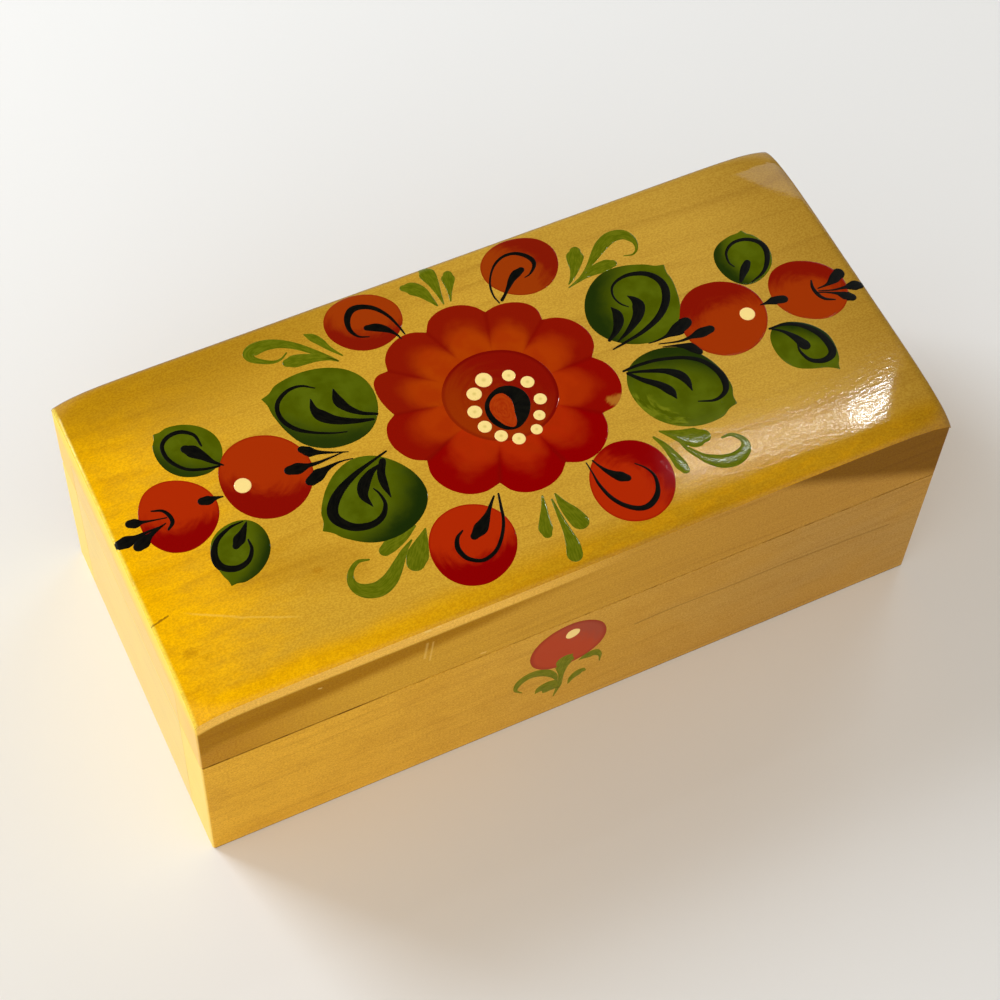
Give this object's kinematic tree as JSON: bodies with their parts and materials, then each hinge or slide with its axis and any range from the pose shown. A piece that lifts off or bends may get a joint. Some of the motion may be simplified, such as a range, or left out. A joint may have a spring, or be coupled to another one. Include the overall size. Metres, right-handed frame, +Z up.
{
  "type": "painted wooden box",
  "caption": "Long wooden keepsake box with a hinged lid on two let-in butt hinges, varnished, with painted flowers, berries and leaves",
  "frame": {"origin": "The middle of the underside, which is the face the box stands on.", "axes": "+X runs to the right along the box's length, +Z is up, and the long front faces -Y with the hinges at +Y."},
  "size_m": [0.2, 0.095, 0.072],
  "materials": {
    "front_board": "varnished",
    "back_board": "varnished",
    "left_end_board": "varnished",
    "right_end_board": "varnished",
    "bottom_board": "bare",
    "lid_wood": "gloss varnish",
    "hinge_brass": "satin"
  },
  "bodies": {
    "base": {"base_front": "front_board", "base_back": "back_board", "base_left_end": "left_end_board", "base_right_end": "right_end_board", "base_bottom": "bottom_board", "hinge_left_base_leaf": "hinge_brass", "hinge_left_pin": "hinge_brass", "hinge_left_base_screw_1": "hinge_brass", "hinge_left_base_screw_2": "hinge_brass", "hinge_right_base_leaf": "hinge_brass", "hinge_right_pin": "hinge_brass", "hinge_right_base_screw_1": "hinge_brass", "hinge_right_base_screw_2": "hinge_brass"},
    "lid": {"lid_shell": "lid_wood", "lid_left_end": "left_end_board", "lid_right_end": "right_end_board", "hinge_left_lid_leaf": "hinge_brass", "hinge_left_lid_screw_1": "hinge_brass", "hinge_left_lid_screw_2": "hinge_brass", "hinge_right_lid_leaf": "hinge_brass", "hinge_right_lid_screw_1": "hinge_brass", "hinge_right_lid_screw_2": "hinge_brass"}
  },
  "joints": [
    {"name": "lid_hinge", "type": "hinge", "parent": "base", "child": "lid", "pos_m": [0, 0.04589, 0.0464], "axis": [-1, 0, 0], "range_deg": [0, 105]}
  ]
}
